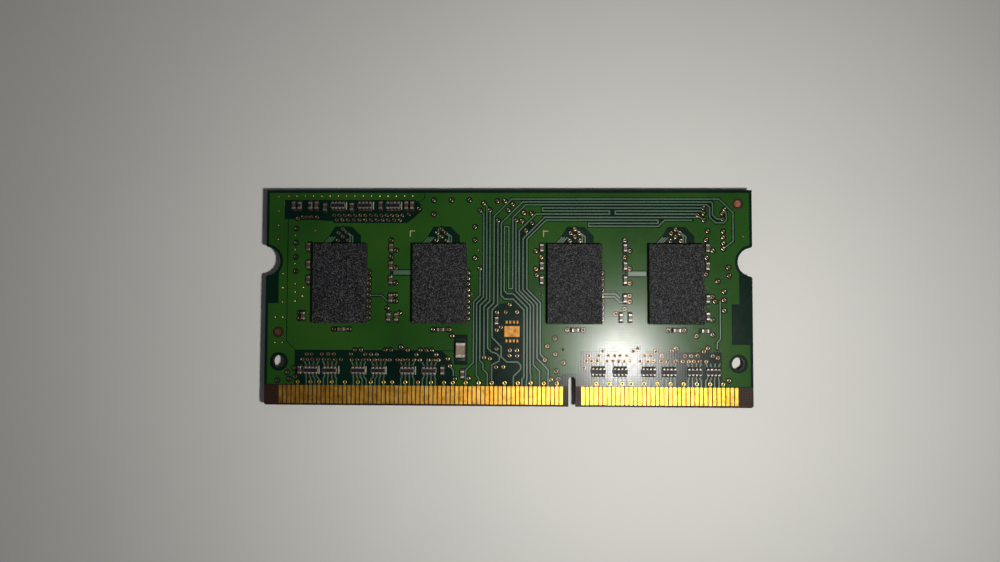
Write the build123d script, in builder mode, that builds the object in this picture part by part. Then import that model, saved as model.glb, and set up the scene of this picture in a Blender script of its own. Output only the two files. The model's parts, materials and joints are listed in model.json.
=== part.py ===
"""204-contact small-outline memory module, lying on its rear packages.

Frame: +X along the card to the right, +Y from the contact edge to the top edge, +Z out of the
front face. The origin is under the card's centre, at the lowest point. Millimetres throughout.
Everything on the card is laid out in X and Y from the card's centre, and the rear face carries the
same layout as the front, mirrored through the middle of the card's thickness.
"""
from build123d import *
from math import hypot
import os

os.makedirs("parts", exist_ok=True)

# ---------------------------------------------------------------- card
card_length = 67.6
card_height = 30.0
card_thickness = 1.0
corner_radius = 0.4
notch_radius = 2.0
notch_above_edge = 20.0
notch_lip_radius = 0.35
locating_radius = 0.9
locating_inset = 2.0
locating_above_edge = 6.0
key_x = 9.0
key_width = 1.0
key_depth = 4.1

copper_thickness = 0.035
plane_thickness = 0.035
prepreg_thickness = 0.2
plane_pullback = 0.5
copper_pullback = 0.4
mask_thickness = 0.02
ink_thickness = 0.012
ink_width = 0.12
mark_length = 1.1
label_thickness = 0.1
label_length = 25.6
label_height = 9.0

# ---------------------------------------------------------------- edge contacts
contact_pitch = 0.6
contact_width = 0.45
contact_length = 2.5
contact_set_back = 0.25
contact_key_gap = 1.5
contact_end_margin = 2.3
mask_edge_gap = 0.05
neck_width = 0.22

# ---------------------------------------------------------------- vias
via_radius = 0.25
via_clearance = 0.2
tented_opening_radius = 0.13

# ---------------------------------------------------------------- copper rules
track_width = 0.14
track_clearance = 0.17
land_clearance = 0.13
mask_margin = 0.05
smallest_pour_island = 0.6

# ---------------------------------------------------------------- memory packages
package_width = 7.5
package_length = 11.0
package_y = 1.9
package_x = (-23.15, -9.3, 9.3, 23.2)
ball_height = 0.33
ball_radius = 0.22
ball_neck_radius = 0.17
ball_pitch = 0.8
ball_block_columns = 3
ball_side_inset = 0.55
ball_end_inset = 0.7
substrate_thickness = 0.22
mould_thickness = 0.55
mould_chamfer = 0.04
die_width = 5.2
die_length = 7.4
die_thickness = 0.25
index_mark_radius = 0.3
index_mark_depth = 0.03
index_mark_inset = 0.85

# ---------------------------------------------------------------- small parts
solder_film = 0.03
solder_toe = 0.2
chip_length = 1.0
chip_width = 0.5
chip_height = 0.5
chip_band = 0.25
ceramic_step = 0.02
resistor_height = 0.35
coat_thickness = 0.04
coat_gap = 0.04

array_length = 2.0
array_width = 1.0
array_height = 0.4
array_pitch = 0.5
array_terminal_width = 0.3
array_band = 0.2

bulk_length = 2.0
bulk_width = 1.25
bulk_height = 0.95
bulk_band = 0.4
bulk_toe = 0.5

sensor_x = 0.7
sensor_y = -4.7
sensor_width = 2.0
sensor_length = 3.0
sensor_height = 0.55
sensor_pad_width = 1.5
sensor_pad_length = 1.5
sensor_land_width = 2.1
sensor_lead_width = 0.25
sensor_lead_length = 0.4
sensor_lead_pitch = 0.5
sensor_lead_thickness = 0.15

target_radius = 0.45
target_clearance_radius = 0.8

# ---------------------------------------------------------------- levels
package_height = ball_height + substrate_thickness + mould_thickness
rear_z = label_thickness + package_height
front_z = rear_z + card_thickness
mid_z = (rear_z + front_z) / 2
laminate_top = front_z - copper_thickness
core_top = laminate_top - prepreg_thickness - plane_thickness
core_bottom = rear_z + front_z - core_top
seat_z = front_z + solder_film
solder_depth = solder_film + copper_thickness
mid_plane = Plane.XY.offset(mid_z)

contact_edge = -card_height / 2
top_edge = card_height / 2
side_edge = card_length / 2
notch_y = contact_edge + notch_above_edge
locating_x = side_edge - locating_inset
locating_y = contact_edge + locating_above_edge
finger_top = contact_edge + contact_set_back + contact_length
mask_edge = finger_top + mask_edge_gap
bare_foot = mask_edge - 0.2

left_row_length = side_edge - contact_end_margin + key_x - contact_key_gap
right_row_length = side_edge - contact_end_margin - key_x - contact_key_gap
left_contacts = int(left_row_length / contact_pitch + 0.001) + 1
right_contacts = int(right_row_length / contact_pitch + 0.001) + 1
first_left_contact_x = key_x - contact_key_gap - contact_pitch * (left_contacts - 1)
first_right_contact_x = key_x + contact_key_gap

ball_block_x = package_width / 2 - ball_side_inset - (ball_block_columns - 1) / 2 * ball_pitch
ball_rows = int((package_length - 2 * ball_end_inset) / ball_pitch + 0.001) + 1

# ---------------------------------------------------------------- places on the card
array_row_y = contact_edge + 4.85
upper_array_y = top_edge - 2.2
west_column_x = package_x[0] - package_width / 2 - 0.85
middle_column_x = package_x[2] - package_width / 2 - 0.75
east_column_x = package_x[3] + package_width / 2 + 0.65
lower_arrays = (-27.2, -24.6, -20.6, -17.8, -13.8, -10.75, 12.6, 15.6, 19.5, 22.3, 25.75, 28.3)
upper_arrays = (-23.7, -19.9, -15.95)
array_places = [(x, upper_array_y) for x in upper_arrays] + [(x, array_row_y) for x in lower_arrays]
lower_marks = (-26.1, -23.35, -19.55, -16.75, -12.65)
upper_mark_offset = 1.15

capacitors_upright = [
    (-29.9, upper_array_y), (-26.7, upper_array_y), (-25.5, upper_array_y - 0.25),
    (-21.75, upper_array_y - 0.2), (-17.7, upper_array_y), (-14.1, upper_array_y),
    (-13.3, upper_array_y), (west_column_x, 7.0), (west_column_x, 4.5), (west_column_x, 2.4), (-28.4, -2.6),
    (-16.2, 6.9), (-16.2, 4.4), (-16.2, 2.4), (-16.2, -0.1), (-16.45, -2.75), (-15.4, -2.75),
    (middle_column_x, 6.9), (middle_column_x, 4.4), (middle_column_x, 2.4), (-1.45, -3.2),
    (16.3, 6.9), (16.3, 4.4), (16.3, 2.45), (16.25, -0.1), (15.7, -2.7), (16.95, -2.7),
    (east_column_x, 6.9), (east_column_x, 4.4), (east_column_x, -0.1), (east_column_x, -2.5),
    (-28.75, -10.1), (-8.9, -10.1), (-6.15, -10.6),
]
lying_row = [(x + 0.15, -4.45) for x in package_x]
capacitors_lying = lying_row + [(27.2, -4.5)]
resistors_upright = [(-29.1, upper_array_y), (-27.6, upper_array_y)]
bulk_place = (-6.4, -7.25)
targets = [(side_edge - 1.95, top_edge - 1.9), (1.85 - side_edge, -4.9)]


def spread(start, end, count):
    """Evenly spaced values from start to end."""
    return [start + (end - start) * i / (count - 1) for i in range(count)]


def row(y, values):
    """Places at one height."""
    return [(x, y) for x in values]


def column(x, values):
    """Places at one distance along the card."""
    return [(x, y) for y in values]


# Vias that join the pour: only a small dimple shows, because the mask covers their pads.
pour_vias = (
    row(top_edge - 0.9, spread(-30.6, -13.1, 16))
    + column(1.8 - side_edge, spread(top_edge - 1.0, 8.0, 4))
    + column(-29.6, (8.6, 6.6, 4.6))
    + column(-31.25, (3.2, 1.25, -0.75))
    + column(-29.5, (1.8, 0.65, -0.6))
    + row(-2.85, (-32.25, -31.2))
    + row(-6.35, (-32.25, -31.2))
    + [(-26.8, 9.25), (-3.9, 6.5), (7.75, -7.15), (32.45, 8.45), (-28.5, 0.1), (-28.35, 1.3)]
    + [(-4.75, 0.35), (4.65, 0.45), (27.5, 1.2), (27.5, -1.3)]
)

# Vias with a ring of bare laminate round them.
upper_left_vias = (
    row(11.45, spread(-24.3, -14.7, 14))
    + row(10.8, spread(-23.95, -15.05, 12))
    + row(11.2, (-28.7, -28.1, -27.5, -26.7))
    + [(-29.4, 11.0), (-13.8, 11.6), (-12.4, 12.4), (-10.3, 11.6)]
    + row(13.6, (-10.3, -7.8, -5.3))
    + column(-29.6, (9.6, 7.6, 5.6, 3.6))
    + column(-4.5, (9.85, 8.0, 5.5))
)
bus_vias = [
    (-3.3, 13.15), (-3.8, 12.15), (-2.45, 12.2), (-1.4, 13.5), (-0.35, 13.45), (-1.3, 10.75),
    (0.75, 13.0), (0.15, 12.2), (2.3, 11.8), (3.35, 11.75), (1.22, 10.8), (2.05, 10.7),
    (3.45, 10.4), (2.6, 9.35), (-3.8, 4.05),
]
right_vias = (
    [(27.15, 12.5), (27.2, 11.75), (26.35, 11.5), (27.2, 10.85), (29.75, 11.75), (30.05, 12.35)]
    + [(29.8, 10.95), (27.7, 9.3), (27.5, 8.05), (28.4, 6.6), (27.55, 5.6), (27.45, 3.3)]
    + column(29.85, (9.25, 8.45, 7.6, 6.85))
    + column(29.9, (0.9, -0.25, -1.7))
    + [(30.5, 4.25), (30.6, 3.1), (29.05, 2.35), (28.3, 0.2), (28.65, -0.45), (28.3, -3.0)]
    + [(26.1, -5.2), (28.3, -5.0)]
)
package_gap_vias = (
    [(-29.0, -2.2), (-29.0, -3.0), (-16.7, -1.5), (-15.0, -2.2), (15.0, -2.2), (16.2, -1.5)]
    + column(-16.2, (8.0, 5.65))
    + column(-15.55, (6.55, 4.1, 2.0, 0.3, -0.5))
    + column(16.3, (8.0, 5.65))
    + column(16.95, (6.55, 4.1, 2.0, 0.3, -0.5))
    + [(4.0, 6.5), (4.75, 5.65), (4.0, 4.0), (4.1, 3.15)]
)
lower_middle_vias = [
    (-7.6, -5.3), (-8.2, -8.5), (-7.9, -9.5), (6.6, -5.6), (5.6, -6.7), (6.7, -7.8), (7.8, -8.95),
    (6.8, -10.15), (5.25, -8.6), (6.1, -11.3), (7.1, -11.2), (-7.2, -11.3), (-5.3, -11.2),
    (-3.17, -8.3), (-2.4, -8.45), (-1.45, -7.1), (-1.5, -9.6), (-0.5, -9.6), (0.4, -7.3),
    (1.4, -7.3), (0.35, -8.05), (1.4, -8.05), (-0.85, -4.1), (-1.4, -2.05), (-1.45, -4.5),
    (0.35, -0.95), (1.4, -2.0), (-0.2, -2.0),
]
lower_left_row = (-28.5, -27.8, -27.1, -26.3, -25.5, -24.7, -23.9, -23.1, -21.6, -20.8, -20.0, -19.2,
                  -18.4, -17.7, -17.0, -16.3, -15.2, -14.5, -13.8, -12.9, -12.1, -10.9, -10.2, -9.5)
lower_right_row = (10.95, 11.7, 12.5, 13.8, 14.6, 15.4, 16.2, 17.0, 18.35, 19.4, 20.2, 21.2, 22.1, 23.2,
                   24.2, 25.0, 25.7, 26.5, 27.4)
array_vias = (
    row(-8.7, lower_left_row + lower_right_row)
    + row(-7.95, (-27.9, -27.2, -25.8, -24.9, -24.1, -21.7, -19.7, -18.9, -18.1, -12.6, -9.8))
    + row(-7.95, (11.3, 12.7, 13.95, 14.85, 15.6, 16.5, 19.0, 19.75, 21.3, 24.5, 25.35, 26.2, 28.3))
    + row(-7.35, (-21.15, -20.3, -16.9, -16.15, -13.8, -12.0, -11.2, -10.4))
    + row(-7.35, (13.2, 17.4, 20.5, 22.7, 27.1))
    + [(-14.75, -6.9), (18.0, -6.95), (23.3, -6.95), (27.65, -6.9), (29.0, -8.2)]
    + [(-30.6, -10.5), (-29.6, -9.9), (-29.45, -11.1), (-30.3, -11.4), (-31.95, -11.6)]
    + [(10.65, -9.6), (30.5, -11.3)]
)
neck_vias_left = (4, 7, 9, 12, 15, 18, 21, 24, 26, 29, 32, 35, 38, 40, 43, 46, 49, 52, 55, 58, 61, 64)
neck_vias_right = (3, 6, 9, 11, 14, 17, 20, 23, 26, 29, 32)
neck_via_y = contact_edge + 3.2


def left_contact(index):
    """Centre of a contact in the left group."""
    return first_left_contact_x + contact_pitch * index


def right_contact(index):
    """Centre of a contact in the right group."""
    return first_right_contact_x + contact_pitch * index


neck_vias = row(neck_via_y, [left_contact(i) for i in neck_vias_left if i < left_contacts])
neck_vias += row(neck_via_y, [right_contact(i) for i in neck_vias_right if i < right_contacts])
escape_vias = [
    (x + dx, y)
    for x in package_x
    for dx, y in ((0.1, 9.55), (-0.5, 9.0), (0.7, 9.0), (0.1, 8.5), (-0.6, 7.95), (0.85, 7.95))
]
package_edge_vias = [
    (x + package_width / 2 + 0.1, y) for x in package_x[:3] for y in spread(3.5, -2.9, 9)
]
chip_reach = chip_length / 2 + solder_toe + via_radius
lying_vias = [(x + dx, y) for x, y in lying_row for dx in (-chip_reach - 0.2, chip_reach + 0.1)]
ringed_vias = (
    upper_left_vias + bus_vias + right_vias + package_gap_vias + lower_middle_vias + array_vias
    + neck_vias + escape_vias + package_edge_vias + lying_vias
)
all_vias = pour_vias + ringed_vias

# ---------------------------------------------------------------- tracks
# Six tracks left of the middle: along the top at one distance, along the bottom at another.
left_jogs = ((-3.76, -4.65, 0.3), (-3.28, -4.22, 0.1), (-2.85, -3.75, -0.2), (-2.4, -3.2, -0.5),
             (-1.83, -2.67, -0.75), (-1.3, -2.08, -0.95))
left_tops = ([(-3.8, 4.05), (-3.76, 3.9)], [(-3.8, 12.15), (-3.28, 11.6)], [(-3.3, 13.15), (-2.85, 12.7)],
             [(-2.45, 12.2), (-2.4, 12.0)], [(29.85, 6.85), (31.2, 7.9), (31.2, 11.85), (29.3, 13.75),
             (0.6, 13.75), (-1.83, 11.32)], [(-1.3, 10.75)])
left_feet = ([(-4.65, -9.0), (-5.7, -10.05), (-5.7, finger_top)],
             [(-4.22, -10.8), (-3.9, -11.15), (-3.9, finger_top)],
             [(-3.75, -8.7), (-3.3, -9.15), (-3.3, -9.9), (-2.7, -10.5), (-2.7, finger_top)],
             [(-3.17, -8.3)],
             [(-2.67, -7.0), (-2.1, -7.55), (-1.4, -7.75), (-1.0, -8.2), (-1.1, -8.8), (-2.1, -9.3),
              (-2.1, finger_top)],
             [(-2.08, -5.5), (-0.8, -6.8), (-0.8, -8.2), (0.0, -8.9), (1.5, -8.9), (1.9, -9.3), (1.9, -9.9),
              (0.9, -10.9), (0.9, finger_top)])
right_jogs = ((1.22, 3.22, 0.9), (1.67, 3.67, 1.0), (2.2, 4.17, 1.1), (2.74, 4.61, 1.2))
right_tops = ([(1.22, 10.8)], [(27.15, 12.5), (4.9, 12.5), (4.9, 12.08), (14.2, 12.08), (14.2, 11.65),
              (4.0, 11.65), (1.67, 9.32)],
              [(27.2, 10.85), (26.7, 11.2), (5.2, 11.2), (2.2, 8.2)],
              [(25.6, 10.8), (21.8, 10.8), (20.95, 9.95), (11.3, 9.95), (11.3, 10.37), (20.9, 10.37),
               (20.9, 10.8), (5.4, 10.8), (2.74, 8.14)])
right_feet = ([(3.22, -10.4), (3.3, -10.6), (3.3, finger_top)],
              [(3.67, -9.3), (4.5, -10.13), (4.5, finger_top)],
              [(4.17, -8.4), (5.7, -9.93), (5.7, finger_top)],
              [(4.61, -7.8), (5.25, -8.44), (5.25, -8.6)])
clock_tracks = [
    [(-0.83, 0.3), (-0.33, -0.2), (0.85, -0.2), (2.35, -1.7), (2.35, -11.0), (2.1, -11.3),
     (2.1, finger_top)],
    [(-0.39, 0.95), (0.01, 0.55), (0.85, 0.55), (2.78, -1.38), (2.78, -11.2), (2.7, -11.4),
     (2.7, finger_top)],
]
clock_tops = [
    [(28.95, 11.0), (28.4, 11.55), (28.4, 13.15), (28.2, 13.35), (2.12, 13.35), (-0.83, 10.4)],
    [(30.05, 12.35), (30.3, 11.6), (30.3, 10.9), (29.95, 10.45), (28.8, 10.45), (28.0, 11.2),
     (28.0, 12.6), (27.65, 12.95), (2.55, 12.95), (0.78, 11.18), (0.78, 1.25), (0.22, 1.25),
     (0.22, 9.9), (-0.39, 9.9)],
]


contact_x = [left_contact(i) for i in range(left_contacts)]
contact_x += [right_contact(i) for i in range(right_contacts)]


def landed(points):
    """Points of a track; one that ends at the contacts ends on the nearest of them."""
    end_x, end_y = points[-1]
    if end_y == finger_top:
        end_x = min(contact_x, key=lambda x: abs(x - end_x))
    return points[:-1] + [(end_x, end_y)]


def jogged(top, jog, foot):
    """Points of a track that comes down, shifts sideways at 45 degrees and goes on down."""
    x_top, x_foot, jog_y = jog
    return landed(top + [(x_top, jog_y), (x_foot, jog_y - abs(x_foot - x_top))] + foot)


bus_tracks = [jogged(*net) for net in zip(left_tops, left_jogs, left_feet)]
bus_tracks += [jogged(*net) for net in zip(right_tops, right_jogs, right_feet)]
bus_tracks += [landed(top + foot) for top, foot in zip(clock_tops, clock_tracks)]
bus_tracks += [[(27.2, 11.75), (26.8, 12.08), (15.0, 12.08), (15.0, 11.65), (26.0, 11.65), (26.35, 11.5)]]
bus_tracks += [[(28.95, 11.0), (29.8, 10.95)]]

fine_tracks = [
    [(-19.3, 0.25), (-17.5, 0.25), (-16.65, -0.55), (-16.45, -0.55)],
    [(13.0, 0.55), (15.0, 0.55), (15.6, -0.05)],
    [(13.0, 0.15), (14.85, 0.15), (15.6, -0.6), (16.0, -0.6)],
    [(29.35, -0.4), (29.35, -5.6), (28.9, -6.1), (28.9, -7.0)],
    [(-9.6, 9.6), (-9.6, 8.0)],
    [(-7.9, -9.5), (-7.4, -10.1), (-7.4, -10.9)],
]
for x in package_x:
    fine_tracks += [[(x + dx - 0.9, 7.45), (x + dx, 8.4)] for dx in (-0.95, -1.3, -1.65)]
    fine_tracks += [
        [(x + 0.1, 9.55), (x + 1.5, 8.5), (x + 1.5, 7.45)],
        [(x + 0.7, 9.0), (x + 1.15, 8.6), (x + 1.15, 7.45)],
    ]
power_tracks = [[(-15.85, 3.45), (-13.3, 3.45)], [(16.75, 3.35), (19.25, 3.35)]]
power_track_width = 0.6
gap_lines = [
    [(-30.75, 11.2), (-30.75, -6.15), (-29.5, -7.4), (-7.2, -7.4)],
    [(-11.55, 14.8), (-11.55, 13.95), (-12.1, 13.4), (-12.9, 13.4)],
]
gap_width = 0.14


def fan_tracks(array_x, group_start, group_count):
    """Four tracks from an array's lower terminals, spreading to four neighbouring contacts."""
    first = round((array_x - 1.5 * contact_pitch - group_start) / contact_pitch)
    first = max(0, min(first, group_count - 4))
    bend_y = array_row_y - array_width / 2 - solder_toe - 0.2
    tracks = []
    for i in range(4):
        terminal_x = array_x + (i - 1.5) * array_pitch
        foot_x = group_start + contact_pitch * (first + i)
        tracks.append([
            (terminal_x, array_row_y - array_width / 2 - solder_toe),
            (terminal_x, bend_y),
            (foot_x, bend_y - abs(foot_x - terminal_x) - 0.05),
            (foot_x, finger_top),
        ])
    return tracks


def riser_tracks(array_x):
    """Tracks from an array's upper terminals towards the via row above it."""
    tracks = []
    for i in range(4):
        terminal_x = array_x + (i - 1.5) * array_pitch
        start_y = array_row_y + array_width / 2 + solder_toe
        tracks.append([(terminal_x, start_y), (terminal_x + (i - 1.5) * 0.15, start_y + 0.5)])
    return tracks


array_tracks = []
for x in lower_arrays:
    if x < key_x:
        array_tracks += fan_tracks(x, first_left_contact_x, left_contacts)
    else:
        array_tracks += fan_tracks(x, first_right_contact_x, right_contacts)
    array_tracks += riser_tracks(x)

neck_tracks = [[(via_x, neck_via_y), (via_x, finger_top)] for via_x, via_y in neck_vias]


def stroke(points, width):
    """Face along a bent centre line, mitred at its corners."""
    left = []
    right = []
    for i, (x, y) in enumerate(points):
        directions = []
        for a, b in ((i - 1, i), (i, i + 1)):
            if 0 <= a and b < len(points):
                dx = points[b][0] - points[a][0]
                dy = points[b][1] - points[a][1]
                directions.append((dx / hypot(dx, dy), dy / hypot(dx, dy)))
        (ax, ay), (bx, by) = directions[0], directions[-1]
        mitre = width / 2 / (1 + ax * bx + ay * by)
        nx = -(ay + by) * mitre
        ny = (ax + bx) * mitre
        left.append((x + nx, y + ny))
        right.append((x - nx, y - ny))
    return Face(Wire.make_polygon(left + right[::-1], close=True))


def strokes(lines, width):
    """Faces along several centre lines."""
    return [stroke(points, width) for points in lines]


def clearings(lines, width):
    """Rectangles round each straight stretch of several centre lines, to be cleared of pour."""
    faces = []
    for points in lines:
        for (ax, ay), (bx, by) in zip(points, points[1:]):
            middle = Plane(((ax + bx) / 2, (ay + by) / 2, 0), x_dir=(bx - ax, by - ay, 0), z_dir=(0, 0, 1))
            faces.append(Face.make_rect(hypot(bx - ax, by - ay) + width, width, middle))
    return faces


def rectangles(places, length, height):
    """Plain rectangular faces at places."""
    return [Face.make_rect(length, height, Plane((x, y, 0))) for x, y in places]


def save(piece, name):
    """Label a finished piece and write it to its own file."""
    piece.part.label = name
    export_step(piece.part, f"parts/{name}.step")


# ---------------------------------------------------------------- card outline
with BuildSketch() as card_blank:
    Rectangle(card_length, card_height)
    fillet(card_blank.vertices().group_by(Axis.Y)[0], corner_radius)
    with Locations((-side_edge, notch_y), (side_edge, notch_y)):
        Circle(notch_radius, mode=Mode.SUBTRACT)
    fillet(
        card_blank.vertices().filter_by_position(Axis.Y, notch_y - notch_radius, notch_y + notch_radius),
        notch_lip_radius,
    )
    with Locations((key_x, contact_edge + (key_depth - key_width / 2) / 2)):
        Rectangle(key_width, key_depth - key_width / 2, mode=Mode.SUBTRACT)
    with Locations((key_x, contact_edge + key_depth - key_width / 2)):
        Circle(key_width / 2, mode=Mode.SUBTRACT)
    with Locations((-locating_x, locating_y), (locating_x, locating_y)):
        Circle(locating_radius, mode=Mode.SUBTRACT)

with BuildSketch() as plane_outline:
    add(card_blank.sketch)
    offset(amount=-plane_pullback)

with BuildSketch() as copper_outline:
    add(card_blank.sketch)
    offset(amount=-copper_pullback)

# ---------------------------------------------------------------- laminate and inner planes
with BuildPart() as laminate_core:
    with BuildSketch(Plane.XY.offset(core_bottom)):
        add(card_blank.sketch)
    extrude(amount=core_top - core_bottom)
save(laminate_core, "laminate_core")

with BuildPart() as ground_plane:
    with BuildSketch(Plane.XY.offset(core_top)):
        add(plane_outline.sketch)
    extrude(amount=plane_thickness)
save(ground_plane, "inner_ground_plane")

with BuildPart() as power_plane:
    mirror(ground_plane.part, about=mid_plane)
save(power_plane, "inner_power_plane")

with BuildPart() as front_prepreg:
    with BuildSketch(Plane.XY.offset(core_top + plane_thickness)):
        add(card_blank.sketch)
        with Locations(*all_vias):
            Circle(via_radius, mode=Mode.SUBTRACT)
    extrude(amount=prepreg_thickness)

# ---------------------------------------------------------------- plated vias down to the inner planes
with BuildPart() as front_vias:
    with BuildSketch(Plane.XY.offset(core_top + plane_thickness)):
        with Locations(*all_vias):
            Circle(via_radius)
    extrude(amount=prepreg_thickness + copper_thickness)

# ---------------------------------------------------------------- edge contacts
with BuildPart() as front_contacts:
    with BuildSketch(Plane.XY.offset(laminate_top)):
        with Locations(*row(contact_edge + contact_set_back, contact_x)):
            Rectangle(contact_width, contact_length, align=(Align.CENTER, Align.MIN))
    extrude(amount=copper_thickness)

# ---------------------------------------------------------------- component lands
chip_land_offset = (chip_length - chip_band + solder_toe) / 2
chip_land_length = chip_band + solder_toe
array_land_offset = (array_width - array_band + solder_toe) / 2
array_land_length = array_band + solder_toe
bulk_land_offset = (bulk_length - bulk_band + bulk_toe) / 2
bulk_land_length = bulk_band + bulk_toe
upright_places = capacitors_upright + resistors_upright
upright_lands = [(x, y + s * chip_land_offset) for x, y in upright_places for s in (-1, 1)]
lying_lands = [(x + s * chip_land_offset, y) for x, y in capacitors_lying for s in (-1, 1)]
array_offsets = [(i - 1.5) * array_pitch for i in range(4)]
array_rows = [(x, y + s * array_land_offset) for x, y in array_places for s in (-1, 1)]
array_lands = [(x + dx, y) for x, y in array_rows for dx in array_offsets]
bulk_lands = [(bulk_place[0], bulk_place[1] + s * bulk_land_offset) for s in (-1, 1)]
ball_places = [
    (x + s * ball_block_x + (k - (ball_block_columns - 1) / 2) * ball_pitch,
     package_y + (i - (ball_rows - 1) / 2) * ball_pitch)
    for x in package_x
    for s in (-1, 1)
    for k in range(ball_block_columns)
    for i in range(ball_rows)
]
sensor_lead_offset = (sensor_length - sensor_lead_length) / 2
sensor_leads = [
    (sensor_x + (i - 1.5) * sensor_lead_pitch, sensor_y + s * sensor_lead_offset)
    for i in range(4)
    for s in (-1, 1)
]


def land_faces(margin=0.0):
    """Faces of every component land, grown by a margin all round."""
    grow = 2 * margin
    faces = rectangles(upright_lands, chip_width + grow, chip_land_length + grow)
    faces += rectangles(lying_lands, chip_land_length + grow, chip_width + grow)
    faces += rectangles(bulk_lands, bulk_width + grow, bulk_land_length + grow)
    faces += rectangles(sensor_leads, sensor_lead_width + grow, sensor_lead_length + grow)
    faces += rectangles([(sensor_x, sensor_y)], sensor_land_width + grow, sensor_pad_length + grow)
    return faces


array_row_length = 3 * array_pitch + array_terminal_width
with BuildPart() as front_lands:
    with BuildSketch(Plane.XY.offset(laminate_top)):
        add(rectangles(sensor_leads, sensor_lead_width, sensor_lead_length))
        add(rectangles([(sensor_x, sensor_y)], sensor_land_width, sensor_pad_length))
    extrude(amount=copper_thickness)

with BuildPart() as front_targets:
    with BuildSketch(Plane.XY.offset(laminate_top)):
        with Locations(*targets):
            Circle(target_radius)
    extrude(amount=copper_thickness)

# ---------------------------------------------------------------- tracks
signal_lines = bus_tracks + fine_tracks + array_tracks
with BuildSketch() as track_layout:
    add(strokes(signal_lines, track_width))
    add(strokes(neck_tracks, neck_width))
    add(strokes(power_tracks, power_track_width))
    with Locations(*all_vias):
        Circle(via_radius, mode=Mode.SUBTRACT)
    add(land_faces(), mode=Mode.SUBTRACT)
    add(rectangles(array_lands, array_terminal_width, array_land_length), mode=Mode.SUBTRACT)

with BuildPart() as front_tracks:
    with BuildSketch(Plane.XY.offset(laminate_top)):
        add(track_layout.sketch)
    extrude(amount=copper_thickness)

# ---------------------------------------------------------------- ground pour
escape_domes = [
    Polygon((x - 2.3, 7.0), (x + 2.7, 7.0), (x + 2.7, 8.6), (x + 1.4, 9.9), (x - 1.0, 9.9),
            (x - 1.8, 8.6), align=None)
    for x in package_x
]
bare_zones = escape_domes + [
    # resistor arrays along the top left
    Polygon((-31.3, 13.65), (-31.3, 10.9), (-28.6, 10.9), (-24.5, 10.6), (-24.3, 10.35), (-14.0, 10.35),
            (-13.3, 10.9), (-11.9, 12.1), (-12.2, 13.1), (-12.9, 13.65), align=None),
    # resistor arrays above the contacts
    Polygon((-29.6, -7.4), (-9.0, -7.4), (-7.7, -8.6), (-7.3, -10.2), (-7.3, bare_foot), (-29.6, bare_foot),
            align=None),
    Polygon((10.3, -7.4), (29.5, -7.4), (29.5, bare_foot), (10.3, bare_foot), (9.8, -11.3), align=None),
    # round the unfilled footprint and the key slot
    Polygon((-2.2, -1.9), (-1.2, -0.9), (1.0, -0.5), (2.3, -1.8), (2.3, bare_foot), (-2.2, bare_foot),
            align=None),
    Polygon((7.4, bare_foot), (7.4, -10.9), (7.8, -10.5), (9.7, -10.5), (10.4, -11.3), (10.4, bare_foot),
            align=None),
    # strips at the two ends
    Polygon((30.9, -0.8), (31.95, -0.8), (31.95, 3.4), (side_edge, 3.4), (side_edge, -6.4), (30.9, -6.4),
            align=None),
    Polygon((-side_edge, -0.9), (-31.95, -0.9), (-31.95, 3.9), (-side_edge, 3.9), align=None),
]
bare_zones += rectangles([bulk_place], 1.9, 4.2)
bare_zones += rectangles([(x, package_y) for x in package_x], package_width - 0.5, package_length - 0.5)
pour_bottom = mask_edge + 0.1
with BuildSketch() as pour_layout:
    add(copper_outline.sketch)
    with Locations((0, contact_edge)):
        Rectangle(card_length, 2 * (pour_bottom - contact_edge), mode=Mode.SUBTRACT)
    add(bare_zones, mode=Mode.SUBTRACT)
    add(clearings(signal_lines, track_width + 2 * track_clearance), mode=Mode.SUBTRACT)
    add(clearings(neck_tracks, neck_width + 2 * track_clearance), mode=Mode.SUBTRACT)
    add(clearings(power_tracks, power_track_width + 2 * track_clearance), mode=Mode.SUBTRACT)
    add(strokes(gap_lines, gap_width), mode=Mode.SUBTRACT)
    add(land_faces(land_clearance), mode=Mode.SUBTRACT)
    with Locations(*ringed_vias):
        Circle(via_radius + via_clearance, mode=Mode.SUBTRACT)
    with Locations(*pour_vias):
        Circle(via_radius, mode=Mode.SUBTRACT)
    with Locations(*targets):
        Circle(target_clearance_radius, mode=Mode.SUBTRACT)

with BuildPart() as front_pour:
    with BuildSketch(Plane.XY.offset(laminate_top)):
        add([face for face in pour_layout.sketch.faces() if face.area > smallest_pour_island])
    extrude(amount=copper_thickness)

# ---------------------------------------------------------------- solder mask
ball_fields = [(x + s * ball_block_x, package_y) for x in package_x for s in (-1, 1)]
with BuildPart() as front_mask:
    with BuildSketch(Plane.XY.offset(front_z)):
        add(card_blank.sketch)
        with Locations((0, contact_edge)):
            Rectangle(card_length, 2 * (mask_edge - contact_edge), mode=Mode.SUBTRACT)
        add(land_faces(mask_margin), mode=Mode.SUBTRACT)
        add(
            rectangles(array_rows, array_row_length + 2 * mask_margin, array_land_length + 2 * mask_margin),
            mode=Mode.SUBTRACT,
        )
        add(
            rectangles(ball_fields, (ball_block_columns - 1) * ball_pitch + 2 * ball_radius + 2 * mask_margin,
                       (ball_rows - 1) * ball_pitch + 2 * ball_radius + 2 * mask_margin),
            mode=Mode.SUBTRACT,
        )
        with Locations(*ringed_vias):
            Circle(via_radius, mode=Mode.SUBTRACT)
        with Locations(*pour_vias):
            Circle(tented_opening_radius, mode=Mode.SUBTRACT)
        with Locations(*targets):
            Circle(target_clearance_radius, mode=Mode.SUBTRACT)
    extrude(amount=mask_thickness)

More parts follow.
